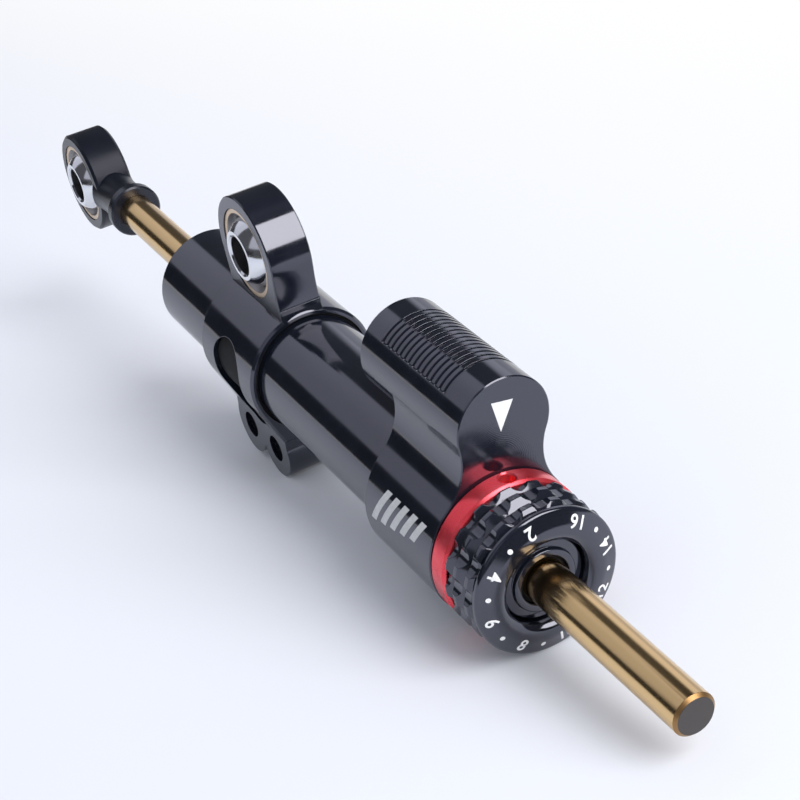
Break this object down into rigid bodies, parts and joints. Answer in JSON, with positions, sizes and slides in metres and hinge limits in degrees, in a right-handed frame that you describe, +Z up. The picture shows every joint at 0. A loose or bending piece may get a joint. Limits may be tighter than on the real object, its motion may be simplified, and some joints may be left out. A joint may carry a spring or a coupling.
{
  "type": "motorcycle steering damper",
  "caption": "Hydraulic steering damper with a through rod, click adjuster dial, piggyback reservoir, split clamp with a spherical eye and a spherical rod end.",
  "frame": {"origin": "centre of the clamp eye's ball bore", "axes": "+X along the rod toward the adjuster dial, +Y along the clamp eye's bore, +Z up from the rod toward the clamp eye"},
  "size_m": [0.2548, 0.0288, 0.06],
  "materials": {
    "black_anodised": "glossy black anodised",
    "red_anodised": "satin red anodised",
    "gold_rod": "polished gold nitride coat",
    "chrome_ball": "polished chrome",
    "bronze": "turned bronze",
    "dark_aluminium": "turned dark anodised",
    "bare_aluminium": "turned bare",
    "black_steel": "black oxide",
    "bright_steel": "ground",
    "rubber": "matte black",
    "ptfe": "bronze filled bearing plastic"
  },
  "bodies": {
    "damper_body": {"damper_tube": "black_anodised", "head_block": "black_anodised", "front_gland": "dark_aluminium", "front_bush": "bronze", "front_oil_seal": "rubber", "front_wiper": "rubber", "front_gland_o_ring": "rubber", "rear_gland": "dark_aluminium", "rear_bush": "bronze", "rear_oil_seal": "rubber", "rear_wiper": "rubber", "rear_gland_o_ring": "rubber", "gland_circlip": "black_steel", "tube_o_ring": "rubber", "lock_ring": "red_anodised", "dial_nut": "dark_aluminium", "detent_ball": "bright_steel", "detent_spring": "bright_steel", "reservoir_cap": "black_anodised", "cap_circlip": "black_steel", "floating_piston": "bare_aluminium", "floating_piston_ring": "rubber", "reservoir_spring": "bright_steel", "clamp": "black_anodised", "clamp_liner": "rubber", "clamp_screws": "black_steel", "clamp_race": "bronze"},
    "clamp_bearing": {"clamp_ball": "chrome_ball"},
    "dial": {"adjuster_dial": "black_anodised", "metering_ring": "bright_steel"},
    "rod": {"piston_rod": "gold_rod", "piston": "bare_aluminium", "piston_ring": "ptfe", "piston_clips": "bright_steel", "rod_eye": "black_anodised", "eye_collar": "black_anodised", "eye_race": "bronze"},
    "rod_bearing": {"rod_eye_ball": "chrome_ball"}
  },
  "joints": [
    {"name": "rod_slide", "type": "slide", "parent": "damper_body", "child": "rod", "axis": [1, 0, 0], "range_m": [-0.038, 0.038]},
    {"name": "dial_turn", "type": "hinge", "parent": "damper_body", "child": "dial", "pos_m": [0.0947, 0, -0.0233], "axis": [1, 0, 0], "continuous": true},
    {"name": "clamp_ball_turn", "type": "hinge", "parent": "damper_body", "child": "clamp_bearing", "pos_m": [0, 0, 0], "axis": [0, 1, 0], "continuous": true},
    {"name": "rod_ball_turn", "type": "hinge", "parent": "rod", "child": "rod_bearing", "pos_m": [-0.102, 0, -0.0233], "axis": [0, 1, 0], "continuous": true}
  ]
}
